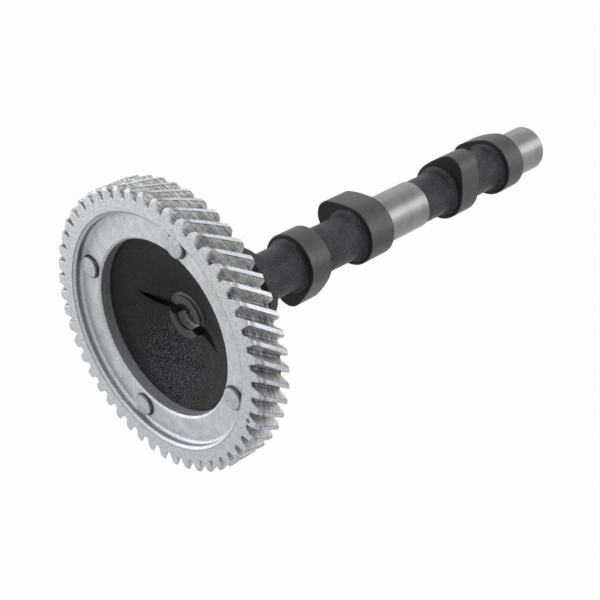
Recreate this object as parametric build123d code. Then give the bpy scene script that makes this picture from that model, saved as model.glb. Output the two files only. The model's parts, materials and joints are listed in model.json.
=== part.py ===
from build123d import *
import math
import os

# Camshaft of a flat engine with its riveted timing gear, in millimetres.
# The shaft lies along X, +X from the gear towards the far end, and +Z is up.
# The origin is the middle of the first journal, on the axis.

# Journals, necks and the thrust collar: radii, and stations along X
journal_radius = 12.5
neck_radius = 11.9
neck_fillet = 2.0
journal_step = 0.4
collar_radius = 19.0
journal_1_half = 11.5
collar_end = 17.3
journal_2_end = 134.9
journal_3_end = 237.0
end_chamfer = 0.9
edge_chamfer = 0.5
centre_hole_radius = 3.2
centre_hole_depth = 5.5

# Cam lobes: all four share one profile. Angles run from +Y towards +Z, seen from the far end.
base_radius = 15.6
nose_radius = 8.7
nose_offset = 13.9
flank_radius = 60.0
intake_angles = (24.0, 114.0)
exhaust_lag = 110.0
lobe_starts = (43.0, 85.6, 157.2, 199.1)
lobe_ends = (57.3, 104.6, 172.4, 213.9)
lobe_front_bevel = 0.8
lobe_rear_bevels = (0.8, 1.9, 0.8, 0.8)
lobe_angles = (intake_angles[0] - exhaust_lag, intake_angles[0],
               intake_angles[1], intake_angles[1] - exhaust_lag)

# Timing gear: helical, 50 teeth, right-handed
teeth = 50
pitch_radius = 64.0
addendum = 2.8
dedendum = 3.1
helix_angle = 33.7
transverse_pressure_angle = 18.0
tooth_thickening = 1.02
first_gap_angle = -2.0
tooth_chamfer_radial = 1.5
tooth_chamfer_axial = 0.75
gear_front = -42.0
gear_width = 17.6
front_rim_thickness = 6.2
front_recess_depth = 4.6
front_recess_chamfer = 1.2
web_thickness = 6.0
web_bore_chamfer = 0.9
rear_rim_thickness = 5.3
timing_mark_radius = 1.1
timing_mark_depth = 0.5
timing_mark_at = (-59.0, -17.4)

# Mounting flange of the shaft: a dished casting that the gear's web sits against.
# The dish's curve is given by points in from its rim and behind it.
flange_clearance = 1.6
flange_thickness = 4.5
dish_lip = 1.4
dish_curve = ((20.9, 6.4), (13.4, 3.5), (6.4, 1.5))
boss_face = -23.4
boss_radius = 10.4
boss_foot = -21.9
boss_bore_radius = 6.3
boss_bore_depth = 5.4
boss_bore_chamfer = 0.7
back_cone_radius = 31.0
back_cone_depth = 4.5
hub_radius = 19.5
hub_length = 4.0

# Drive slot across the boss: parallel walls on the boss, then run-outs in the dish that bend
# to one side and close in a point. Both edges of a run-out are arcs.
slot_angle = 18.5
slot_width = 5.8
slot_depth = 6.0
slot_reach = 26.8
slot_tip_aside = 2.8
slot_inner_run = 16.5
slot_inner_bend = 3.0
slot_outer_run = 18.4
slot_outer_bend = 1.55
slot_floor_radius = 40.0

# Rivets: four, through the web and the flange
rivet_count = 4
rivet_edge_distance = 5.7
rivet_web_lap = 6.5
rivet_seat_margin = 1.3
rivet_first_angle = 17.0
rivet_shank_radius = 3.5
rivet_head_radius = 5.3
rivet_head_height = 2.1
rivet_rear_radius = 5.0
rivet_rear_height = 2.0
rivet_head_round = 0.7

web_front = gear_front + front_recess_depth
web_rear = web_front + web_thickness
flange_rear = web_rear + flange_thickness
gear_rear = gear_front + gear_width
tip_radius = pitch_radius + addendum
root_radius = pitch_radius - dedendum
front_recess_radius = root_radius - front_rim_thickness
rear_recess_radius = root_radius - rear_rim_thickness
flange_radius = rear_recess_radius - flange_clearance
rivet_circle_radius = flange_radius - rivet_edge_distance
web_bore_radius = rivet_circle_radius - rivet_web_lap
dish_mouth_radius = web_bore_radius - dish_lip
back_flat_radius = rivet_circle_radius - rivet_rear_radius - rivet_seat_margin


def turned(edges):
    """Solid of revolution about X from a closed profile of (x, radius) edges."""
    return revolve(make_face(edges), axis=Axis.X)


def polar(radius, degrees):
    angle = math.radians(degrees)
    return radius * math.cos(angle), radius * math.sin(angle)


def along_shaft(x):
    """Drawing plane across the shaft at station x: its own x is +Y and its own y is +Z."""
    return Plane(origin=(x, 0, 0), x_dir=(0, 1, 0), z_dir=(1, 0, 0))


def polyline(points):
    return Polyline(*points).edges()


def rod(start, end, radius):
    """Plain turned length with both end edges bevelled."""
    bevel = end_chamfer / 2
    return turned(polyline([(start, 0), (start, radius - bevel), (start + bevel, radius),
                            (end - bevel, radius), (end, radius - bevel), (end, 0), (start, 0)]))


def neck(start, end, round_start=neck_fillet, round_end=neck_fillet):
    """Cast neck with a concave round where it meets the faces at either end."""
    r = neck_radius
    diagonal = 1 - math.sqrt(0.5)
    a, b = diagonal * round_start, diagonal * round_end
    outline = [
        Line((start, 0), (start, r + round_start)),
        ThreePointArc((start, r + round_start), (start + a, r + a), (start + round_start, r)),
        Line((start + round_start, r), (end - round_end, r)),
        ThreePointArc((end - round_end, r), (end - b, r + b), (end, r + round_end)),
        Line((end, r + round_end), (end, 0)),
        Line((end, 0), (start, 0)),
    ]
    return turned(outline)


def lobe(start, end, degrees, rear_bevel):
    """Cam lobe: base circle, nose circle and two large flank arcs tangent to both, edges bevelled."""
    to_base = flank_radius - base_radius
    to_nose = flank_radius - nose_radius
    u = (to_base ** 2 - to_nose ** 2 + nose_offset ** 2) / (2 * nose_offset)
    v = math.sqrt(to_base ** 2 - u ** 2)

    def on_flank(angle):
        return u + flank_radius * math.cos(angle), -v + flank_radius * math.sin(angle)

    angle_base = math.atan2(v, -u)
    angle_nose = math.atan2(v, nose_offset - u)
    base_point = on_flank(angle_base)
    nose_point = on_flank(angle_nose)
    middle = on_flank((angle_base + angle_nose) / 2)
    mirrored = [(p[0], -p[1]) for p in (nose_point, middle, base_point)]
    outline = [
        ThreePointArc(base_point, middle, nose_point),
        ThreePointArc(nose_point, (nose_offset + nose_radius, 0), mirrored[0]),
        ThreePointArc(mirrored[0], mirrored[1], mirrored[2]),
        ThreePointArc(mirrored[2], (-base_radius, 0), base_point),
    ]
    face = along_shaft(start) * Rot(0, 0, degrees) * make_face(outline)
    solid = extrude(face, amount=end - start, dir=(1, 0, 0))
    solid = chamfer(solid.faces().sort_by(Axis.X)[0].edges(), lobe_front_bevel)
    return chamfer(solid.faces().sort_by(Axis.X)[-1].edges(), rear_bevel)


def shaft_blank():
    """Dished flange, boss, first journal and thrust collar as one turned outline."""
    face_x, foot_x, r = boss_face, boss_foot, boss_radius
    curve = [(web_rear + behind, dish_mouth_radius - inward) for inward, behind in dish_curve]
    dish = Spline((foot_x + 0.2, r + 1.2), *curve, (web_rear, dish_mouth_radius))
    outline = [
        Line((face_x, 0), (face_x, r - 0.4)),
        Line((face_x, r - 0.4), (face_x + 0.4, r)),
        Line((face_x + 0.4, r), (foot_x - 0.5, r)),
        Line((foot_x - 0.5, r), (foot_x + 0.2, r + 1.2)),
        dish,
        Line((web_rear, dish_mouth_radius), (web_rear, flange_radius)),
        Line((web_rear, flange_radius), (flange_rear, flange_radius)),
        Line((flange_rear, flange_radius), (flange_rear, back_flat_radius)),
    ]
    hub_start = -journal_1_half - hub_length
    back = [(flange_rear, back_flat_radius), (flange_rear + back_cone_depth, back_cone_radius),
            (hub_start, hub_radius), (-journal_1_half, hub_radius),
            (-journal_1_half, journal_radius), (journal_1_half, journal_radius),
            (journal_1_half, collar_radius - edge_chamfer),
            (journal_1_half + edge_chamfer, collar_radius),
            (collar_end - edge_chamfer, collar_radius),
            (collar_end, collar_radius - edge_chamfer), (collar_end, 0), (face_x, 0)]
    return turned(outline + list(polyline(back)))


def drive_slot():
    """Cutter body for the slot: curved run-outs in plan, and a floor that rises along an arc."""
    half = slot_width / 2
    run = boss_radius
    outline = []
    for side in (1, -1):
        tip = (side * slot_reach, -side * slot_tip_aside)
        inner = (side * slot_inner_run, side * (half - slot_inner_bend))
        outer = (side * slot_outer_run, -side * (half + slot_outer_bend))
        outline += [
            ThreePointArc((side * run, side * half), inner, tip),
            ThreePointArc(tip, outer, (side * run, -side * half)),
            Line((side * run, -side * half), (-side * run, -side * half)),
        ]
    deepest = boss_face + slot_depth
    face = along_shaft(gear_front) * make_face(outline)
    prism = extrude(face, amount=deepest - gear_front + 1, dir=(1, 0, 0))
    disc = Pos(deepest - slot_floor_radius, 0, 0) * Cylinder(slot_floor_radius, 3 * slot_width)
    return Rot(slot_angle, 0, 0) * (prism & disc)


def boss_bore():
    """Blind bore in the boss with a bevelled mouth and a centre-drilled floor."""
    r, c = boss_bore_radius, boss_bore_chamfer
    floor = boss_face + boss_bore_depth
    return turned(polyline([(boss_face - 1, 0), (boss_face - 1, r + c + 1), (boss_face + c, r),
                            (floor, r), (floor, centre_hole_radius),
                            (floor + centre_hole_depth, 0), (boss_face - 1, 0)]))


def end_centre():
    """Centre-drilled cone in the far end."""
    r, d = centre_hole_radius, centre_hole_depth
    x = journal_3_end
    return turned(polyline([(x + 1, 0), (x + 1, r + r / d), (x - d, 0), (x + 1, 0)]))


def rivet_places():
    step = 360 / rivet_count
    return [polar(rivet_circle_radius, rivet_first_angle + k * step) for k in range(rivet_count)]


def rivet_holes():
    length = flange_rear - web_front + 4
    holes = [Pos(web_front - 2 + length / 2, y, z) * Rot(0, 90, 0) * Cylinder(rivet_shank_radius, length)
             for y, z in rivet_places()]
    return holes


def camshaft():
    """One casting: flange, boss, journals, necks, collar and lobes."""
    body = shaft_blank()
    body += neck(collar_end, lobe_starts[0])
    body += neck(lobe_ends[0], lobe_starts[1])
    body += rod(lobe_ends[1] - 1, journal_2_end, journal_radius)
    body += neck(journal_2_end, lobe_starts[2], journal_step)
    body += neck(lobe_ends[2], lobe_starts[3])
    body += rod(lobe_ends[3] - 1, journal_3_end, journal_radius)
    for shape in zip(lobe_starts, lobe_ends, lobe_angles, lobe_rear_bevels):
        body += lobe(*shape)
    body -= drive_slot()
    body -= boss_bore()
    body -= end_centre()
    for hole in rivet_holes():
        body -= hole
    return body


def involute_half_angle(radius):
    """Half of a tooth's angle at a radius, for the involute flank."""
    alpha = math.radians(transverse_pressure_angle)
    base = pitch_radius * math.cos(alpha)
    at = math.acos(min(1.0, base / radius))
    half_pitch = math.pi / (2 * teeth) * tooth_thickening
    return half_pitch + (math.tan(alpha) - alpha) - (math.tan(at) - at)


def tooth_outline(x, outer):
    """Closed outline of all the teeth at station x: tip arc, flank, root arc, flank, and so on."""
    foot = root_radius + 1.0
    twist = math.degrees((x - gear_front) * math.tan(math.radians(helix_angle)) / pitch_radius)
    levels = [foot + (outer - foot) * k / 4 for k in range(5)]
    half = [math.degrees(involute_half_angle(r)) for r in levels]
    pitch = 360 / teeth
    plane = along_shaft(x)
    edges = []
    for k in range(teeth):
        centre = first_gap_angle + pitch * (k + 0.5) + twist
        up = [polar(r, centre - a) for r, a in zip(levels, half)]
        down = [polar(r, centre + a) for r, a in zip(levels, half)][::-1]
        following = polar(levels[0], centre + pitch - half[0])
        edges += [
            Spline(*up),
            ThreePointArc(up[-1], polar(outer, centre), down[0]),
            Spline(*down),
            ThreePointArc(down[-1], polar(root_radius, centre + pitch / 2), following),
        ]
    return plane * Wire(edges)


def cam_gear():
    """Aluminium ring with helical teeth, a recessed web and a large bore."""
    chamfered = tip_radius - tooth_chamfer_radial
    c = tooth_chamfer_axial
    inner = gear_width - 2 * c
    steps = 4
    stations = [(gear_front, chamfered)]
    stations += [(gear_front + c + inner * k / steps, tip_radius) for k in range(steps + 1)]
    stations += [(gear_rear, chamfered)]
    blank = Solid.make_loft([tooth_outline(x, outer) for x, outer in stations], ruled=True)
    r, d = front_recess_radius, front_recess_chamfer
    core = turned(polyline([
        (gear_front - 1, 0), (gear_front - 1, r + d + 1), (gear_front + d, r), (web_front - 1, r),
        (web_front, r - 1), (web_front, web_bore_radius + web_bore_chamfer),
        (web_front + web_bore_chamfer, web_bore_radius), (web_rear, web_bore_radius),
        (web_rear, rear_recess_radius - 1), (web_rear + 1, rear_recess_radius),
        (gear_rear - 0.6, rear_recess_radius), (gear_rear + 1, rear_recess_radius + 1.6),
        (gear_rear + 1, 0), (gear_front - 1, 0)]))
    gear = blank - core
    for hole in rivet_holes():
        gear -= hole
    y, z = timing_mark_at
    r, d = timing_mark_radius, timing_mark_depth
    mark = Pos(gear_front + d / 2 - 0.5, y, z) * Rot(0, 90, 0) * Cylinder(r, d + 1)
    return gear - mark


def rivet(y, z):
    """Rivet: low round head on the web, shank, and the upset head behind the flange."""
    s, r, h, f = rivet_shank_radius, rivet_head_radius, rivet_head_height, rivet_head_round
    b, g = rivet_rear_radius, rivet_rear_height
    front, rear = web_front, flange_rear
    outline = [
        Line((front - h, 0), (front - h, r - 2 * f)),
        ThreePointArc((front - h, r - 2 * f), (front - h + f * 0.6, r - f * 0.6), (front - h + 2 * f, r)),
    ]
    rest = [(front - h + 2 * f, r), (front, r), (front, s), (rear, s), (rear, b),
            (rear + g - 0.8, b), (rear + g, b - 1.6), (rear + g, 0), (front - h, 0)]
    return Pos(0, y, z) * turned(outline + list(polyline(rest)))


pieces = {"camshaft": camshaft(), "cam_gear": cam_gear()}
for number, (y, z) in enumerate(rivet_places(), start=1):
    pieces[f"rivet_{number}"] = rivet(y, z)

os.makedirs("parts", exist_ok=True)
for node, shape in pieces.items():
    if isinstance(shape, (Compound, ShapeList)) or len(shape.solids()) == 1:
        shape = shape.solids()[0]
    shape.label = node
    export_step(shape, f"parts/{node}.step")
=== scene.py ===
import json
import math

import bpy
import numpy as np
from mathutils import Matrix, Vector


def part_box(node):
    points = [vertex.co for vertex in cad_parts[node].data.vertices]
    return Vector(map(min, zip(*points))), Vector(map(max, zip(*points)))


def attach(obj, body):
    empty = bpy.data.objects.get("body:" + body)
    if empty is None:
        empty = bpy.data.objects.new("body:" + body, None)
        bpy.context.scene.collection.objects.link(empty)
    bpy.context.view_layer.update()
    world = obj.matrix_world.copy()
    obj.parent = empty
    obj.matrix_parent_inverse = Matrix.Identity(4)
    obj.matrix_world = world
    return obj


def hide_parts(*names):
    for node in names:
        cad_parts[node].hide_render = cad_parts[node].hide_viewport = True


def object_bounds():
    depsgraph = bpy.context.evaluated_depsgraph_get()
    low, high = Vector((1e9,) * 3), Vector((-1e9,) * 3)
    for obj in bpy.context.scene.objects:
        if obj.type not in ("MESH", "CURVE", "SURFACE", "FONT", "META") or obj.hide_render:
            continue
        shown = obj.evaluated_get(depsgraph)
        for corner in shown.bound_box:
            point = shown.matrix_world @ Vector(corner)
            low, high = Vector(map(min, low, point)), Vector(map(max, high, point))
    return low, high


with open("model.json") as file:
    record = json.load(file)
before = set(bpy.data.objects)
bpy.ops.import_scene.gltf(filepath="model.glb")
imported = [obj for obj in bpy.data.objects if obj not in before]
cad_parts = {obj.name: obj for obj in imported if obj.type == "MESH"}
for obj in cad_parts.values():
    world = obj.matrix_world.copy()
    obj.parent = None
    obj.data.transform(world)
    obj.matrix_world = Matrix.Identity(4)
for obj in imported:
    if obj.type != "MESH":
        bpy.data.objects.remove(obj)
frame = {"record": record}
cad_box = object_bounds()
mounts = {mount["name"]: mount for mount in frame["record"]["mounts"]}


# The camera stands before the gear, above it and to one side, where the photograph was taken.
# It is level, and its long lens keeps the far end of the shaft almost as large as the near one.
camera_place = Vector((-0.34166, -0.37467, 0.29286))
camera_looks_along = Vector((0.6257, 0.5970, -0.5020))
focal_length_in_pixels = 1284.6
picture_width_in_pixels = 600
lens = bpy.data.cameras.new("camera")
lens.sensor_width = 36.0
lens.lens = lens.sensor_width * focal_length_in_pixels / picture_width_in_pixels
camera = bpy.data.objects.new("camera", lens)
camera.location = camera_place
camera.rotation_euler = camera_looks_along.to_track_quat("-Z", "Y").to_euler()
bpy.context.scene.collection.objects.link(camera)
bpy.context.scene.camera = camera


# The flange end of the shaft: a sand casting in iron with a black skin. Its round boss is turned and
# bored, and a cutter has milled the drive slot across it, running out in the dish on both sides.
MM = 0.001
gear_low, gear_high = (np.array(corner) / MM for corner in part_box("cam_gear"))
gear_front = gear_low[0]
gear_rear = gear_high[0]
web_front = gear_front + 4.6
web_rear = web_front + 6.0
flange_radius = 54.0
flange_rear = web_rear + 4.5
boss_face = -23.4
boss_radius = 10.4
boss_foot = -22.4
bore_radius = 6.3
bore_floor = boss_face + 5.4
bore_bevel = 0.7
centre_radius = 3.2
centre_depth = 5.5
dish_radii = (11.6, 19.5, 27.0, 34.0, 40.4)
dish_stations = (-21.7, -25.0, -27.9, -29.9, web_rear)
turned_bevel = 0.4
turned_strip = 1.0
flange_bevel = 0.5
back_flat_radius = 42.0
back_cone_radius = 31.0
back_cone_station = -22.4
hub_radius = 19.5
hub_foot = -15.5
hub_face = -11.5
core_radius = 2.0
# Centre and radii of the patch low in the dish where the skin's grain is coarser and painted glints lie.
glint_patch = (2.0, -23.0)
glint_patch_radii = (10.0, 27.0)
slot_angle = math.radians(18.5)
slot_half_width = 2.9
slot_floor = boss_face + 6.0
slot_reach = 26.8
slot_tip_aside = 2.8
slot_inner_bend = 0.85
slot_outer_bend = 1.6
slot_fade = 8.0
cutter_radius = 40.0
cutter_run = 30.0
slot_columns = 14
dish_columns = 180


def polar_points(x, radius, angle):
    """Points at station x, at a radius and an angle from +Y towards +Z about the shaft's axis."""
    x, radius, angle = np.broadcast_arrays(x, radius, angle)
    return np.stack([x, radius * np.cos(angle), radius * np.sin(angle)], axis=-1)


def lumps(points, size, seed):
    """Smooth random field from -1 to 1: random values on a cubic lattice, eased between its points."""
    side = 32
    table = np.random.default_rng(seed).uniform(-1, 1, (side, side, side))
    cell = np.floor(points / size).astype(int)
    ease = points / size - cell
    ease = ease * ease * (3 - 2 * ease)
    total = 0
    for corner in np.ndindex(2, 2, 2):
        weight = np.prod(np.where(corner, ease, 1 - ease), axis=-1)
        at = (cell + corner) % side
        total = total + weight * table[at[..., 0], at[..., 1], at[..., 2]]
    return total


def along(corners, step):
    """Points of a broken line through (x, radius) corners, about one step apart, corners kept."""
    points = []
    for start, end in zip(corners[:-1], corners[1:]):
        count = max(1, round(math.dist(start, end) / step))
        points.append(np.linspace(start, end, count, endpoint=False))
    return np.vstack(points + [np.array(corners[-1:], float)])


def closed_skin(name, rings, materials, finish=None, loop=False, crease=35):
    """Mesh of quads from each ring of points to the next. A loop joins the last ring to the first;
    otherwise a fan closes each end at the middle of its ring."""
    count, around = rings.shape[:2]
    points = rings.reshape(-1, 3)
    i = np.arange(count if loop else count - 1)[:, None]
    j = np.arange(around)[None, :]
    here, beyond, next_j = i * around, (i + 1) % count * around, (j + 1) % around
    quads = np.stack(np.broadcast_arrays(here + j, here + next_j, beyond + next_j, beyond + j), axis=-1)
    faces = quads.reshape(-1, 4).tolist()
    index = np.zeros(quads.shape[:2], int) if finish is None else finish[: len(i)]
    shown = [index.ravel()]
    if not loop:
        for ring, direction in ((0, -1), (count - 1, 1)):
            first, second = ring * around + j[0], ring * around + next_j[0]
            pair = (first, second) if direction > 0 else (second, first)
            faces += np.stack([*pair, np.full(around, len(points))], axis=-1).tolist()
            points = np.vstack([points, rings[ring].mean(axis=0)])
            shown.append(index[min(ring, len(i) - 1)])
    mesh = bpy.data.meshes.new(name)
    mesh.from_pydata((points * MM).tolist(), [], faces)
    for material in materials:
        mesh.materials.append(material)
    mesh.polygons.foreach_set("material_index", np.concatenate(shown).astype(np.int32))
    mesh.shade_smooth()
    mesh.set_sharp_from_angle(angle=math.radians(crease))
    piece = bpy.data.objects.new(name, mesh)
    bpy.context.scene.collection.objects.link(piece)
    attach(piece, "root")
    return piece


class Wire:
    """One output in a material's node tree. Arithmetic on it adds Math nodes."""

    def __init__(self, tree, socket=None):
        self.tree = tree
        self.socket = socket

    def node(self, kind, settings=None, sockets=None, output=0):
        """Adds a node: its settings come first, then the values or links of its sockets."""
        made = self.tree.nodes.new("ShaderNode" + kind)
        for key, value in (settings or {}).items():
            if key == "stops":
                elements = made.color_ramp.elements
                while len(elements) < len(value):
                    elements.new(1.0)
                for stop, (place, colour) in zip(elements, value):
                    stop.position = place
                    stop.color = (*colour, 1.0)
            else:
                setattr(made, key, value)
        for key, value in (sockets or {}).items():
            if isinstance(value, Wire):
                self.tree.links.new(value.socket, made.inputs[key])
            else:
                made.inputs[key].default_value = value
        return Wire(self.tree, made.outputs[output])

    def out(self, key):
        return Wire(self.tree, self.socket.node.outputs[key])

    def maths(self, operation, *values):
        return self.node("Math", {"operation": operation}, dict(enumerate(values)))

    def __add__(self, other):
        return self.maths("ADD", self, other)

    __radd__ = __add__

    def __sub__(self, other):
        return self.maths("SUBTRACT", self, other)

    def __rsub__(self, other):
        return self.maths("SUBTRACT", other, self)

    def __mul__(self, other):
        return self.maths("MULTIPLY", self, other)

    __rmul__ = __mul__

    def __pow__(self, other):
        return self.maths("POWER", self, other)


def blank(name):
    """A new material and, in millimetres, the place on the object that its pattern reads."""
    material = bpy.data.materials.new(name)
    material.use_nodes = True
    coordinates = Wire(material.node_tree).node("TexCoord", output="Object")
    place = coordinates.node("VectorMath", {"operation": "SCALE"}, {0: coordinates, "Scale": 1 / MM})
    return material, place


def split(place):
    """The three coordinates of a place."""
    x = place.node("SeparateXYZ", None, {0: place})
    return x, x.out("Y"), x.out("Z")


def hypotenuse(first, second):
    """Distance covered by two steps at right angles."""
    return (first * first + second * second) ** 0.5


def noise(place, scale, detail=3.0, roughness=0.5, distortion=0.0):
    """Noise from 0 to 1 about 0.5; scale is in lumps per millimetre."""
    sockets = {"Vector": place, "Scale": scale, "Detail": detail, "Roughness": roughness,
               "Distortion": distortion}
    return place.node("TexNoise", None, sockets)


def ramp(value, *stops):
    """Colour of a value, through stops of (place, colour)."""
    return value.node("ValToRGB", {"stops": stops}, {0: value})


def between(value, low, high):
    """0 where the value is below low, 1 where it is above high, and eased between."""
    sockets = {"Value": value, "From Min": low, "From Max": high}
    return value.node("MapRange", {"interpolation_type": "SMOOTHSTEP"}, sockets)


def tinted(colour, amount, clear, full):
    """A colour times a tint, which runs from clear, where the amount is 0, to full, where it is 1."""
    tint = ramp(amount, (0.0, clear), (1.0, full))
    settings = {"data_type": "RGBA", "blend_type": "MULTIPLY"}
    return colour.node("Mix", settings, {0: 1.0, 6: colour, 7: tint}, output=2)


def bumped(height, depth):
    """Normal of a surface whose relief is a height from 0 to 1, times a depth in millimetres."""
    return height.node("Bump", None, {"Height": height, "Strength": 1.0, "Distance": depth * MM})


def settle(material, sockets):
    """Puts constants and wires on the material's one Principled shader."""
    shader = material.node_tree.nodes["Principled BSDF"]
    for key, value in sockets.items():
        if isinstance(value, Wire):
            material.node_tree.links.new(value.socket, shader.inputs[key])
        else:
            shader.inputs[key].default_value = value
    return material


def cast_skin():
    """Black skin with few specks. In a patch low in the dish its grain is coarse and carries painted
    glints;
    fainter painted glints lie behind the flange, where it is also a little lighter."""
    material, place = blank("black cast skin")
    x, y, z = split(place)
    away = hypotenuse(y - glint_patch[0], z - glint_patch[1])
    behind = between(x, flange_rear, hub_face)
    in_patch = 1 - between(away, *glint_patch_radii)
    coarse_and_glinting = in_patch * (1 - behind) + 0.12 * behind
    peel = noise(place, 1.5, 1.0)
    broad = noise(place, 0.12, 3.0)
    specks = between(noise(place, 0.9, 1.0), 0.64, 0.72)
    # Painted glints: bright grains of base colour stand in for a lamp's glints, mostly in the patch low in
    # the dish.
    painted_glint = between(peel, 0.42, 0.70) * coarse_and_glinting
    tone = 0.25 * broad + 0.92 * painted_glint + 0.16 * specks + 0.20 * behind
    colour = ramp(tone, (0.08, (0.004, 0.0044, 0.0065)), (0.30, (0.013, 0.014, 0.019)),
                  (0.62, (0.118, 0.124, 0.145)))
    return settle(material, {
        "Base Color": colour, "Roughness": 0.30 + 0.16 * broad, "Specular IOR Level": 0.2,
        "Normal": bumped(peel * (0.2 + 0.8 * coarse_and_glinting) + 0.12 * specks, 2.2)})


def turned_iron():
    """Dark iron with the lathe's fine rings, and a painted highlight on the wall of the bore, fainter on
    its floor.
    """
    material, place = blank("turned iron")
    x, y, z = split(place)
    radius = hypotenuse(y, z)
    rings = noise(place.node("CombineXYZ", None, {"X": radius * 5.0, "Y": x * 5.0}), 1.0, 2.0)
    patches = noise(place, 0.35, 3.0)
    in_bore = 1 - between(radius, bore_radius, bore_radius + 0.6)
    on_wall = between(radius, bore_radius - 1.2, bore_radius - 0.6)
    # Painted highlight: the bore's wall, and faintly its floor, get a pale base colour that stands in for
    # a glint.
    painted_glint = in_bore * between(x, boss_face + 1.0, boss_face + 2.4) * (0.15 + 0.45 * on_wall)
    colour = ramp(patches + painted_glint, (0.3, (0.036, 0.038, 0.042)), (0.7, (0.070, 0.073, 0.079)),
                  (1.0, (0.50, 0.51, 0.53)))
    return settle(material, {
        "Base Color": colour, "Metallic": 0.5, "Roughness": 0.46 + 0.2 * patches - 0.2 * painted_glint,
        "Normal": bumped(rings, 0.03)})


def milled_slot():
    """Nearly black milled iron with an uneven gloss."""
    material, place = blank("milled slot")
    grain = noise(place, 1.2, 4.0)
    return settle(material, {
        "Base Color": ramp(grain, (0.3, (0.004, 0.004, 0.005)), (0.7, (0.014, 0.014, 0.016))),
        "Metallic": 0.2, "Roughness": 0.42 + 0.2 * grain, "Normal": bumped(grain, 0.06)})


def flange_outline():
    """Rows of (x, radius) from the centre of the bore out over the dish and round to the hub."""
    dish = np.poly1d(np.polyfit(dish_radii, dish_stations, len(dish_radii) - 1))
    draft = 0.05
    bored = along([(bore_floor + 0.9 * centre_depth, 0.1 * centre_radius), (bore_floor, centre_radius),
                   (bore_floor, bore_radius - draft), (boss_face + bore_bevel, bore_radius),
                   (boss_face, bore_radius + bore_bevel), (boss_face, boss_radius - turned_bevel),
                   (boss_face + turned_bevel, boss_radius), (boss_foot, boss_radius + draft)], step=0.5)
    radius = np.arange(dish_radii[0], dish_radii[-1], 0.42)
    dished = np.stack([dish(radius), radius], axis=-1)
    behind = along([(web_rear, dish_radii[-1]), (web_rear, flange_radius - flange_bevel),
                    (web_rear + flange_bevel, flange_radius), (flange_rear - flange_bevel, flange_radius),
                    (flange_rear, flange_radius - flange_bevel), (flange_rear, back_flat_radius),
                    (back_cone_station, back_cone_radius), (hub_foot, hub_radius),
                    (hub_face - turned_bevel, hub_radius), (hub_face, hub_radius - turned_bevel),
                    (hub_face, core_radius)], step=0.9)
    return np.vstack([bored, dished, behind]), len(bored), len(bored) + len(dished)


def slot_fan(radius, front):
    """Angles of the columns in each row, and which of them lie in the slot. Columns keep to the slot's
    two edges, which bow to one side and meet at its tip, and spread evenly past the dish."""
    even = math.pi * slot_columns / (slot_columns + dish_columns) / 2
    run = np.clip((radius - boss_radius) / (slot_reach - boss_radius), 0, 1)
    bow = 4 * run * (1 - run)
    inner = slot_half_width * (1 - run) - slot_tip_aside * run - slot_inner_bend * bow
    outer = -slot_half_width * (1 - run) - slot_tip_aside * run - slot_outer_bend * bow
    widest = math.sin(1.45)
    high = np.arcsin(np.clip(inner / radius, -widest, widest))
    low = np.arcsin(np.clip(outer / radius, -widest, widest))
    spread = np.clip((radius - slot_reach) / slot_fade, 0, 1) ** 2
    narrowest = 0.02 / radius
    gap = 0.015 / radius
    half = np.where(front, np.maximum((high - low) / 2, narrowest) + even * spread, even)
    middle = slot_angle + np.where(front, (high + low) / 2 * (1 - spread), 0)
    inside = np.linspace(-1, 1, slot_columns) * (half - gap)[:, None]
    rest = math.pi - 2 * half - 2 * gap
    outside = (half + gap)[:, None] + np.linspace(0, 1, dish_columns) * rest[:, None]
    angle = np.hstack([inside, outside, inside + math.pi, outside + math.pi]) + middle[:, None]
    in_slot = np.tile(np.repeat([True, False], [slot_columns, dish_columns]), 2)
    return angle, in_slot


def flange_casting():
    """The outline carried round the axis, with the casting's lumps added to x on the raw skin. Where the
    slot's floor, an arc of the cutter's radius along the slot, is deeper, the skin sinks to it."""
    outline, boss_rows, dish_rows = flange_outline()
    x, radius = outline[:, 0], outline[:, 1]
    row = np.arange(len(outline))
    front = row < dish_rows
    angle, in_slot = slot_fan(radius, front)
    rings = polar_points(x[:, None], radius[:, None], angle)
    at_edge = (radius > flange_radius - turned_strip) | (x > hub_face - turned_strip)
    skin = np.where((row < boss_rows + 2) | (x == web_rear) | at_edge, 0.0, 1.0)
    relief = 0.14 * lumps(rings, 3.4, 1) + 0.10 * lumps(rings, 1.6, 2) + 0.07 * lumps(rings, 0.9, 3)
    rings[..., 0] += skin[:, None] * relief
    run = radius[:, None] * np.cos(angle - slot_angle)
    run = np.minimum(np.abs(run), cutter_run)
    floor = slot_floor - cutter_radius + np.sqrt(cutter_radius ** 2 - run ** 2)
    cut = front[:, None] & in_slot[None, :] & (floor > rings[..., 0]) & (radius < slot_reach)[:, None]
    rings[..., 0] = np.where(cut, floor, rings[..., 0])
    turned = (row < boss_rows) | at_edge
    finish = np.where(cut, 2, np.where(turned[:, None], 1, 0))
    materials = [cast_skin(), turned_iron(), milled_slot()]
    piece = closed_skin("flange_casting", rings, materials, finish)
    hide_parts("camshaft")
    return materials[0]


cast_black = flange_casting()


# The shaft behind the flange: the same casting. The necks and the thrust collar behind the first
# journal keep their rough black skin, and the three journals are ground bright.
journal_radius = mounts["journal_3"]["dims"]["r_mm"]
neck_radius = 11.9
neck_round = 2.0
tight_round = 0.4
neck_step = 0.45
collar_radius = 19.0
collar_bevel = 0.5
collar_root = neck_radius + 2.2
collar_start = 11.5
collar_end = 17.3
journal_2_end = 134.9
journal_3_end = 237.0
end_bevel = 0.45
hub_lap = 0.6
lobe_lap = 1.0
lobe_spans = ((43.0, 57.3), (85.6, 104.6), (157.2, 172.4), (199.1, 213.9))
shaft_columns = 144


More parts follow.
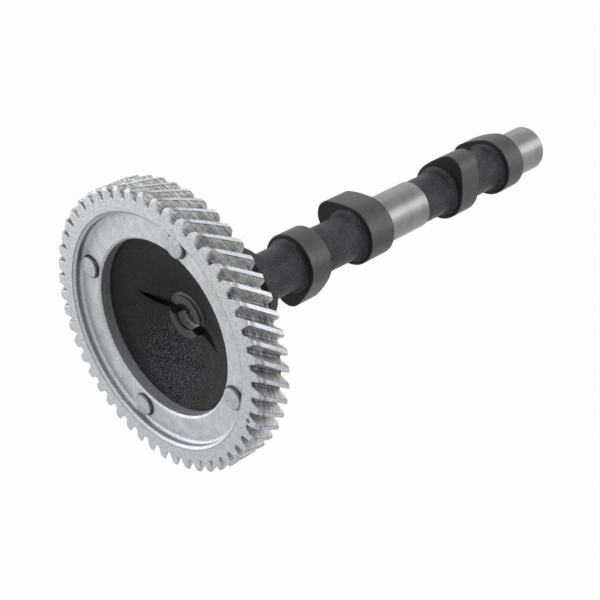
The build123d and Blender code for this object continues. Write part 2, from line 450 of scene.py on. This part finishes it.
def ground_steel():
    """Bright iron with the grinder's fine lines round the axis."""
    material, place = blank("ground journal")
    x, y, z = split(place)
    stretched = place.node("CombineXYZ", None, {"X": x * 5.0, "Y": y * 0.10, "Z": z * 0.10})
    rings = noise(stretched, 1.0, 3.0)
    patches = noise(place, 0.12, 2.0)
    colour = ramp(0.5 * patches + 0.5 * rings, (0.35, (0.17, 0.17, 0.17)), (0.65, (0.25, 0.25, 0.245)))
    return settle(material, {
        "Base Color": colour, "Metallic": 1.0, "Roughness": 0.24 + 0.16 * rings,
        "Normal": bumped(rings, 0.02)})


def neck_rows(start, end, round_start=neck_round):
    """Rows of (x, radius) of a neck, with a quarter-round rising to the face at either end."""
    x = np.linspace(start, end, round((end - start) / neck_step) + 1)
    radius = np.full(len(x), neck_radius)
    for distance, size in ((x - start, round_start), (end - x, neck_round)):
        inside = np.clip(size - distance, 0, size)
        radius = radius + size - np.sqrt(size ** 2 - inside ** 2)
    return np.stack([x, radius], axis=-1)


def shaft_body():
    """A broken line of (x, radius) carried round the axis, with the casting's lumps added to the radius
    of the necks and the collar. It runs on inside the lobes."""
    collar = along([(collar_start, journal_radius), (collar_start, collar_radius - collar_bevel),
                    (collar_start + collar_bevel, collar_radius),
                    (collar_end - collar_bevel, collar_radius), (collar_end, collar_radius - collar_bevel),
                    (collar_end, collar_root)], step=0.8)
    journal_1 = along([(hub_face - hub_lap, core_radius), (hub_face - hub_lap, journal_radius),
                       (collar_start - 0.01, journal_radius)], step=1.2)
    journal_2 = along([(lobe_spans[1][1] - lobe_lap, journal_radius),
                       (journal_2_end - end_bevel, journal_radius),
                       (journal_2_end, journal_radius - end_bevel)], step=1.2)
    journal_3 = along([(lobe_spans[3][1] - lobe_lap, journal_radius),
                       (journal_3_end - end_bevel, journal_radius),
                       (journal_3_end, journal_radius - end_bevel), (journal_3_end, centre_radius),
                       (journal_3_end - 0.9 * centre_depth, 0.1 * centre_radius)], step=1.2)
    stretches = [
        (1, journal_1), (0, collar), (0, neck_rows(collar_end, lobe_spans[0][0])),
        (0, neck_rows(lobe_spans[0][1], lobe_spans[1][0])), (1, journal_2),
        (0, neck_rows(journal_2_end, lobe_spans[2][0], tight_round)),
        (0, neck_rows(lobe_spans[2][1], lobe_spans[3][0])), (1, journal_3)]
    outline = np.vstack([rows for _, rows in stretches])
    kind = np.concatenate([np.full(len(rows), number) for number, rows in stretches])
    angle = np.linspace(0, 2 * math.pi, shaft_columns, endpoint=False)
    rings = polar_points(outline[:, :1], outline[:, 1:], angle)
    relief = 0.16 * lumps(rings, 2.6, 4) + 0.10 * lumps(rings, 1.2, 5) - 0.1
    swelled = outline[:, 1:] + (kind == 0)[:, None] * relief
    rings = polar_points(outline[:, :1], swelled, angle)
    finish = np.broadcast_to(kind[:, None], rings.shape[:2])
    piece = closed_skin("shaft_body", rings, [cast_black, ground_steel()], finish)
    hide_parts("camshaft")


shaft_body()


# The four cam lobes, cast with the shaft. Their rims are ground and then blackened to a satin grey;
# their faces and bevelled edges keep the black skin, and the second lobe's rear bevel is wider.
# A base circle and a nose circle are joined by two large arcs tangent to both.
base_radius = 15.6
nose_radius = 8.7
nose_offset = 13.9
flank_radius = 60.0
lobe_front_bevel = 0.8
lobe_rear_bevels = (0.8, 1.9, 0.8, 0.8)
lobe_angles = (-86.0, 24.0, 114.0, 4.0)


def satin_black():
    """Satin dark grey with faint ground bands round the rim and a soft mottle."""
    material, place = blank("satin black rim")
    x, y, z = split(place)
    stretched = place.node("CombineXYZ", None, {"X": x * 2.2, "Y": y * 0.1, "Z": z * 0.1})
    bands = noise(stretched, 1.0, 3.0)
    mottle = noise(place, 0.3, 5.0, 0.6)
    grain = noise(place, 1.6, 2.0)
    colour = ramp(0.6 * mottle + 0.4 * grain, (0.36, (0.036, 0.037, 0.041)), (0.64, (0.066, 0.068, 0.074)))
    return settle(material, {
        "Base Color": colour, "Metallic": 0.3, "Roughness": 0.40 + 0.14 * mottle,
        "Normal": bumped(0.5 * bands + 0.5 * grain, 0.04)})


def smooth_black():
    """Dull, nearly black skin with a fine grain."""
    material, place = blank("black face")
    grain = noise(place, 1.1, 3.0)
    return settle(material, {
        "Base Color": ramp(grain, (0.35, (0.003, 0.003, 0.005)), (0.65, (0.009, 0.009, 0.013))),
        "Roughness": 0.5 + 0.2 * grain, "Specular IOR Level": 0.2, "Normal": bumped(grain, 0.5)})


def lobe_outline():
    """Closed outline (u, v) of a lobe whose nose points along +u, made of four tangent arcs."""
    to_base = flank_radius - base_radius
    to_nose = flank_radius - nose_radius
    u = (to_base ** 2 - to_nose ** 2 + nose_offset ** 2) / (2 * nose_offset)
    v = math.sqrt(to_base ** 2 - u ** 2)
    at_base = math.atan2(v, -u)
    at_nose = math.atan2(v, nose_offset - u)
    arcs = ((nose_offset, 0, nose_radius, -at_nose, at_nose, 40),
            (u, -v, flank_radius, at_nose, at_base, 24),
            (0, 0, base_radius, at_base, 2 * math.pi - at_base, 72),
            (u, v, flank_radius, -at_base, -at_nose, 24))
    parts = []
    for centre_u, centre_v, radius, start, end, count in arcs:
        angle = np.linspace(start, end, count, endpoint=False)
        parts.append(np.stack([centre_u + radius * np.cos(angle), centre_v + radius * np.sin(angle)], -1))
    return np.vstack(parts)


def cam_lobe(name, start, end, degrees, rear_bevel, materials):
    """The outline, turned to its angle and carried along x. Across each face it shrinks towards the axis,
    from its own size less the bevel."""
    outline = lobe_outline()
    length = np.linalg.norm(outline, axis=1)
    turn = np.arctan2(outline[:, 1], outline[:, 0]) + math.radians(degrees)
    shares = (0.2, 0.75, 0.97, 1.0)
    rows = [(start, (length - lobe_front_bevel) * share) for share in shares]
    rows += [(x, length) for x in np.linspace(start + lobe_front_bevel, end - rear_bevel, 8)]
    rows += [(end, (length - rear_bevel) * share) for share in shares[::-1]]
    rings = np.stack([polar_points(x, size, turn) for x, size in rows])
    rim = np.arange(len(rows))
    ground = (rim >= len(shares)) & (rim < len(rows) - len(shares) - 1)
    finish = np.repeat(ground[:, None].astype(int), len(turn), axis=1)
    piece = closed_skin(name, rings, materials, finish, crease=30)
    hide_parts("camshaft")


lobe_finishes = [smooth_black(), satin_black()]
for number in (1, 2, 3, 4):
    span, rear = lobe_spans[number - 1], lobe_rear_bevels[number - 1]
    cam_lobe(f"lobe_{number}", *span, lobe_angles[number - 1], rear, lobe_finishes)


# The timing gear: an aluminium casting. Its teeth are hobbed, its rim and recess are turned, and the
# web inside them keeps a matte blasted surface. It sits on the flange and is held by four rivets.
teeth = 50
pitch_radius = 64.0
tip_radius = gear_high[2]
root_radius = 60.9
foot_radius = root_radius + 1.0
helix = math.radians(33.7)
pressure = math.radians(18.0)
tooth_thickening = 1.02
first_gap = math.radians(-2.0)
tooth_chamfer_radial = 1.5
tooth_chamfer_axial = 0.75
recess_radius = 54.7
recess_chamfer = 1.2
web_bore_radius = 41.8
web_bore_chamfer = 0.9
rear_recess_radius = 55.6
rear_bevel = 0.6
rear_corner = 1.0
timing_mark = (-59.0, -17.4)
timing_mark_radius = 1.2
rivet_circle = 48.3
rivet_first_angle = math.radians(17.0)
rivet_head_radius = 5.3
flank_points = 7
tip_points = 3
root_points = 5


def hobbed_aluminium():
    """Flanks under two crossing sets of cutter marks, with painted shade at the root, a dark line at the
    tip's edge, and painted shade at their front ends, most of all where Y is large."""
    material, place = blank("hobbed tooth flank")
    x, y, z = split(place)
    radius = hypotenuse(y, z)
    sweep = place.maths("ARCTAN2", z, y) * pitch_radius
    falling = place.node("CombineXYZ", None, {
        "X": (x + 0.8 * radius) * 1.25, "Y": (x - 0.8 * radius) * 0.10, "Z": sweep * 0.1})
    rising = place.node("CombineXYZ", None, {
        "X": x - 0.7 * radius, "Y": (x + 0.7 * radius) * 0.15, "Z": sweep * 0.1})
    hatch = 0.65 * noise(falling, 1.0, 1.0) + 0.35 * noise(rising, 1.0, 1.0)
    patches = noise(place, 0.5, 4.0)
    at_tip = between(radius, tip_radius - 0.75, tip_radius - 0.35)
    # Painted shade: the flanks darken towards the root; a dark line also runs just below the tip.
    undarkened = between(radius, root_radius, root_radius + 1.6) - 1.1 * at_tip
    root_shade = 1 - between(radius, root_radius + 0.2, root_radius + 1.2)
    # Painted shade at the teeth's front ends, strongest where Y is large.
    at_front = 1 - between(x, gear_front + 0.6, gear_front + 4.5)
    below_tip = 1 - between(radius, tip_radius - 1.6, tip_radius - 0.6)
    front_shade = at_front * below_tip * (0.3 + 0.7 * between(y, 5, 25))
    tone = 0.8 * hatch + 0.2 * patches + 0.12 * undarkened - 0.10 * root_shade - 0.30 * front_shade
    colour = ramp(tone, (0.26, (0.05, 0.05, 0.055)), (0.42, (0.22, 0.225, 0.23)),
                  (0.58, (0.47, 0.48, 0.485)), (0.72, (0.74, 0.75, 0.76)))
    return settle(material, {
        "Base Color": colour, "Metallic": 0.7, "Roughness": 0.28 + 0.22 * patches,
        "Normal": bumped(hatch, 0.5)})


def turned_aluminium():
    """Pale aluminium with the lathe's rings and a few nicks. Painted shade darkens the recess's wall, the
    bore and the chamfers at the tips' front ends; the rim's inner edge is darker, and dirt lies in the
    ring of the timing mark."""
    material, place = blank("turned rim")
    x, y, z = split(place)
    radius = hypotenuse(y, z)
    rings = noise(place.node("CombineXYZ", None, {"X": radius * 2.4, "Y": x * 2.4}), 1.0, 2.0)
    mottle = noise(place, 0.9, 5.0, 0.65)
    nicks = between(noise(place, 0.8, 2.0, 0.5), 0.68, 0.73)
    from_mark = hypotenuse(y - timing_mark[0], z - timing_mark[1])
    dimple = 1 - between(from_mark, 0.2, 0.6)
    mark = between(from_mark, timing_mark_radius - 0.3, timing_mark_radius) + 0.7 * dimple
    wall_front = gear_front + recess_chamfer
    above_foot = 1 - between(x, web_front - 1.4, web_front - 0.7)
    outside_web = between(radius, web_bore_radius + 2, recess_radius - 2)
    # Painted shade on the recess's wall.
    recess_wall_shade = between(x, wall_front, wall_front + 0.5) * above_foot * outside_web
    # Painted shade in the bore of the web.
    near_bore = 1 - between(radius, web_bore_radius + 0.7, web_bore_radius + 1.7)
    in_bore = between(x, web_front + 0.7, web_front + 1.6) * near_bore
    lip = recess_radius + recess_chamfer
    on_lip = between(radius, lip - 0.45, lip - 0.15) * (1 - between(radius, lip + 0.15, lip + 0.45))
    edge = on_lip * (1 - between(x, gear_front + 0.4, gear_front + 0.7))
    # Painted shade on the chamfers at the tips' front ends, which dims their reflections.
    at_tip = between(radius, tip_radius - 1.3, tip_radius - 0.9)
    tip_end_shade = at_tip * (1 - between(x, gear_front + 0.6, gear_front + 0.8))
    # Nicks and the timing mark's ring are marks; the wall, bore and tip-end terms are painted shade.
    marks_and_painted_shade = 0.5 * recess_wall_shade + 0.15 * in_bore + 0.45 * edge + 0.5 * nicks + 0.15 * tip_end_shade + (1 - mark)
    colour = ramp(mottle, (0.34, (0.38, 0.40, 0.42)), (0.66, (0.58, 0.61, 0.64)))
    dimmed = tinted(colour, marks_and_painted_shade, (1, 1, 1), (0.10, 0.10, 0.11))
    return settle(material, {
        "Base Color": dimmed, "Metallic": 0.8, "Roughness": 0.46 + 0.2 * mottle,
        "Normal": bumped(0.12 * mottle + 0.05 * rings - 0.2 * nicks + 0.6 * mark, 0.30)})


def blasted_aluminium():
    """Matte pale aluminium with faint warm stains, and a painted contact shadow round each rivet's head.
    Folding the web in four about the rivets' directions lays all four heads over one another."""
    material, place = blank("blasted web")
    _, y, z = split(place)
    across = y * math.cos(rivet_first_angle) + z * math.sin(rivet_first_angle)
    upward = z * math.cos(rivet_first_angle) - y * math.sin(rivet_first_angle)
    across, upward = across.maths("ABSOLUTE", across), upward.maths("ABSOLUTE", upward)
    out = across.maths("MAXIMUM", across, upward) - rivet_circle
    beside = across.maths("MINIMUM", across, upward)
    # Painted contact shadow: a dark ring on the web round each rivet's head.
    rivet_contact_shadow = 1 - between(hypotenuse(out, beside), rivet_head_radius + 0.1, rivet_head_radius + 0.8)
    grain = noise(place, 1.3, 4.0, 0.6)
    patches = noise(place, 0.16, 4.0, 0.6, 0.6)
    stains = between(noise(place, 0.05, 3.0), 0.56, 0.70)
    colour = ramp(0.5 * grain + 0.5 * patches, (0.38, (0.42, 0.445, 0.475)), (0.62, (0.64, 0.665, 0.705)))
    warmed = tinted(colour, stains, (1, 1, 1), (0.90, 0.89, 0.80))
    dimmed = tinted(warmed, rivet_contact_shadow, (1, 1, 1), (0.07, 0.07, 0.08))
    return settle(material, {
        "Base Color": dimmed, "Metallic": 0.65, "Roughness": 0.40 + 0.16 * grain,
        "Normal": bumped(grain, 0.16)})


def tooth_ring(outer):
    """Radii and angles of the outline of all the teeth, cut off at an outer radius. A tooth's half-angle
    at a radius is that at the pitch circle, plus inv(pressure) less inv(a) with cos(a) = base / radius."""
    base = pitch_radius * math.cos(pressure)
    level = np.linspace(foot_radius, outer, flank_points)
    at = np.arccos(np.minimum(1, base / level))
    half = (math.pi / (2 * teeth) * tooth_thickening + math.tan(pressure) - pressure
            - np.tan(at) + at)
    tip = np.linspace(-1, 1, tip_points + 2)[1:-1]
    root = np.linspace(-1, 1, root_points + 2)[1:-1]
    pitch = 2 * math.pi / teeth
    gap = pitch / 2 - half[0]
    radius = np.concatenate([level, np.full(tip_points, outer), level[::-1],
                             root_radius + (foot_radius - root_radius) * root ** 2])
    angle = np.concatenate([-half, tip * half[-1], half[::-1], pitch / 2 + gap * root])
    centres = first_gap + pitch * (np.arange(teeth) + 0.5)
    land = np.concatenate([np.zeros(flank_points - 1, bool), np.ones(tip_points + 1, bool),
                           np.zeros(flank_points + root_points, bool)])
    return np.tile(radius, teeth), (centres[:, None] + angle).ravel(), np.tile(land, teeth)


def timing_gear():
    """Rings in a closed loop: the bore, the web, the recess, the rim, the teeth and round the rear to the
    bore again. Along x the teeth turn by tan(helix) / pitch radius."""
    full, angle, land = tooth_ring(tip_radius)
    cut, cut_angle, _ = tooth_ring(tip_radius - tooth_chamfer_radial)
    per_mm = math.tan(helix) / pitch_radius
    twist = (gear_rear - gear_front) * per_mm
    rim_middle = (recess_radius + root_radius) / 2 + 0.5
    corner = 1.6
    bend = np.linspace(0, math.pi / 2, 6)
    rows = [(web_rear, web_bore_radius, 0, 1), (web_front + web_bore_chamfer, web_bore_radius, 0, 1)]
    rows += [(web_front, r, 0, 2) for r in np.linspace(
        web_bore_radius + web_bore_chamfer, recess_radius - corner, 14)]
    rows += [(web_front - corner * (1 - math.cos(b)), recess_radius - corner * (1 - math.sin(b)), 0, 1)
             for b in bend[1:]]
    rows += [(gear_front + recess_chamfer, recess_radius, 0, 1),
             (gear_front, recess_radius + recess_chamfer, 0, 1),
             (gear_front, rim_middle, 0, 1)]
    inner = [(np.full(len(angle), x), np.full(len(angle), r), angle + t, k) for x, r, t, k in rows]
    toothed = [(gear_front, cut, cut_angle, 1)]
    for x in np.linspace(gear_front + tooth_chamfer_axial, gear_rear - tooth_chamfer_axial, 12):
        toothed.append((x, full, angle + (x - gear_front) * per_mm, 0))
    toothed.append((gear_rear, cut, cut_angle + twist, 1))
    rear = [(gear_rear, rim_middle, twist, 1), (gear_rear, rear_recess_radius + rear_bevel, twist, 1),
            (gear_rear - rear_bevel, rear_recess_radius, twist, 1),
            (web_rear + rear_corner, rear_recess_radius, twist, 1),
            (web_rear, rear_recess_radius - rear_corner, twist, 1)]
    inward = np.linspace(rear_recess_radius - 2 * rear_corner, web_bore_radius + 1, 5)
    rear += [(web_rear, r, twist * share, 2) for r, share in zip(inward, np.linspace(0.8, 0.1, 5))]
    behind = [(np.full(len(angle), x), np.full(len(angle), r), angle + t, k) for x, r, t, k in rear]
    every = inner + toothed + behind
    rings = np.stack([polar_points(x, r, a) for x, r, a, _ in every])
    kind = np.array([k for _, _, _, k in every])
    finish = np.repeat(kind[:, None], len(angle), axis=1)
    finish[(kind == 0)[:, None] & land[None, :]] = 1
    materials = [hobbed_aluminium(), turned_aluminium(), blasted_aluminium()]
    piece = closed_skin("gear_ring", rings, materials, finish, loop=True, crease=22)
    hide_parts("cam_gear")


timing_gear()


# Four rivets hold the gear's web on the flange. Their low silver heads are slightly domed, with a
# rounded edge and the shallow marks of the press, and their other ends are upset behind the flange.
rivet_head_height = 2.1
rivet_shank_radius = 3.5
rivet_rear_radius = 5.0
rivet_rear_height = 2.0
rivet_rear_bevel = 0.8
rivet_rear_taper = 1.6
rivet_edge = 0.9
rivet_crown = 0.25
rivet_pole = 0.3
press_marks = 0.07


def rivet_silver():
    """Dull silver on the head's top and the rear end, and darker on the head's side."""
    material, place = blank("rivet silver")
    grain = noise(place, 0.9, 4.0)
    x, _, _ = split(place)
    top = web_front - rivet_head_height
    on_top = 1 - between(x, top + 0.3, top + 0.5)
    undarkened = on_top + between(x, flange_rear, flange_rear + 0.4)
    colour = ramp(grain, (0.3, (0.32, 0.345, 0.36)), (0.7, (0.50, 0.53, 0.555)))
    dimmed = tinted(colour, undarkened, (0.34, 0.34, 0.35), (1, 1, 1))
    return settle(material, {
        "Base Color": dimmed, "Metallic": 0.8, "Roughness": 0.42 + 0.2 * grain,
        "Normal": bumped(grain, 0.16)})


def rivet_piece(number, material):
    """An outline of (x, radius) carried round the rivet's axis: a crowned head with a quarter-round edge,
    the shank, and the upset end. The marks of the press are lumps added to the head's x."""
    turn = rivet_first_angle + (number - 1) * math.pi / 2
    middle = np.array([0, rivet_circle * math.cos(turn), rivet_circle * math.sin(turn)])
    bend = np.linspace(0, math.pi / 2, 7)
    dome = np.linspace(rivet_pole, rivet_head_radius - rivet_edge, 9)
    top = web_front - rivet_head_height
    rise = rivet_crown * (dome / dome[-1]) ** 2
    edge_x = top + rivet_crown + rivet_edge * (1 - np.cos(bend))
    edge_radius = dome[-1] + rivet_edge * np.sin(bend)
    front = np.vstack([np.stack([top + rise, dome], -1), np.stack([edge_x, edge_radius], -1)[1:]])
    rear = along([(web_front, rivet_head_radius), (web_front, rivet_shank_radius),
                  (flange_rear, rivet_shank_radius), (flange_rear, rivet_rear_radius),
                  (flange_rear + rivet_rear_height - rivet_rear_bevel, rivet_rear_radius),
                  (flange_rear + rivet_rear_height, rivet_rear_radius - rivet_rear_taper),
                  (flange_rear + rivet_rear_height, rivet_pole)], step=0.8)
    outline = np.vstack([front, rear])
    angle = np.linspace(0, 2 * math.pi, 64, endpoint=False)
    rings = polar_points(outline[:, :1], outline[:, 1:], angle) + middle
    pressed = outline[:, 0] < web_front - 0.1
    rings[..., 0] += pressed[:, None] * press_marks * (lumps(rings, 2.2, 6) + 1)
    piece = closed_skin(f"rivet_head_{number}", rings, [material])
    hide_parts(f"rivet_{number}")


silver = rivet_silver()
for number in (1, 2, 3, 4):
    rivet_piece(number, silver)


# The set: a pale floor some way below the shaft, which is held up by its first journal.
# Soft lamps stand round it, and metal reflects the white paper that the camera sees behind it.
floor_height = -0.22
floor_reach = 4.0
floor_mesh = bpy.data.meshes.new("floor")
floor_sides = ((-1, -1), (1, -1), (1, 1), (-1, 1))
floor_corners = [(x * floor_reach, y * floor_reach, floor_height) for x, y in floor_sides]
floor_mesh.from_pydata(floor_corners, [], [(0, 1, 2, 3)])
floor = bpy.data.objects.new("floor", floor_mesh)
bpy.context.scene.collection.objects.link(floor)


def seen(wire):
    """1 for what the camera sees itself, in a reflection or through glass, and 0 for soft light."""
    path = wire.node("LightPath", output="Is Camera Ray")
    return path + path.out("Is Glossy Ray") + path.out("Is Transmission Ray")


paper = bpy.data.materials.new("white paper")
paper.use_nodes = True
floor_mesh.materials.append(paper)
start = Wire(paper.node_tree)
matte = start.node("BsdfDiffuse", None, {"Color": (0.6, 0.6, 0.6, 1)})
glow = start.node("Emission", None, {"Color": (1, 1, 1, 1), "Strength": 1.0})
mixed = start.node("MixShader", None, {0: 0.98 * seen(start), 1: matte, 2: glow})
paper.node_tree.links.new(mixed.socket, paper.node_tree.nodes["Material Output"].inputs["Surface"])

world = bpy.data.worlds.new("studio")
world.use_nodes = True
bpy.context.scene.world = world
background = world.node_tree.nodes["Background"]
background.inputs["Color"].default_value = (1, 1, 1, 1)
strength = 0.16 + 0.84 * seen(Wire(world.node_tree))
world.node_tree.links.new(strength.socket, background.inputs["Strength"])

lamps = (("before the gear", (-1.12, 0.42, 0.22), 0.25, 2.0),
         ("left side", (-0.55, 1.15, 0.12), 0.9, 9.5),
         ("overhead", (-0.10, -0.10, 1.15), 0.7, 6.0),
         ("right side", (0.50, -1.05, 0.35), 0.6, 5.0),
         ("beyond the far end", (0.95, -0.60, 0.42), 0.5, 1.8),
         ("behind", (0.90, 0.75, 0.70), 0.9, 0.8))
middle = sum(map(Vector, cad_box), Vector()) / 2
for name, place, size, power in lamps:
    lamp = bpy.data.lights.new(name, "AREA")
    lamp.size = size
    lamp.energy = power
    holder = bpy.data.objects.new(name, lamp)
    holder.location = place
    holder.rotation_euler = (middle - Vector(place)).to_track_quat("-Z", "Y").to_euler()
    bpy.context.scene.collection.objects.link(holder)

bpy.context.scene.view_settings.view_transform = "Standard"
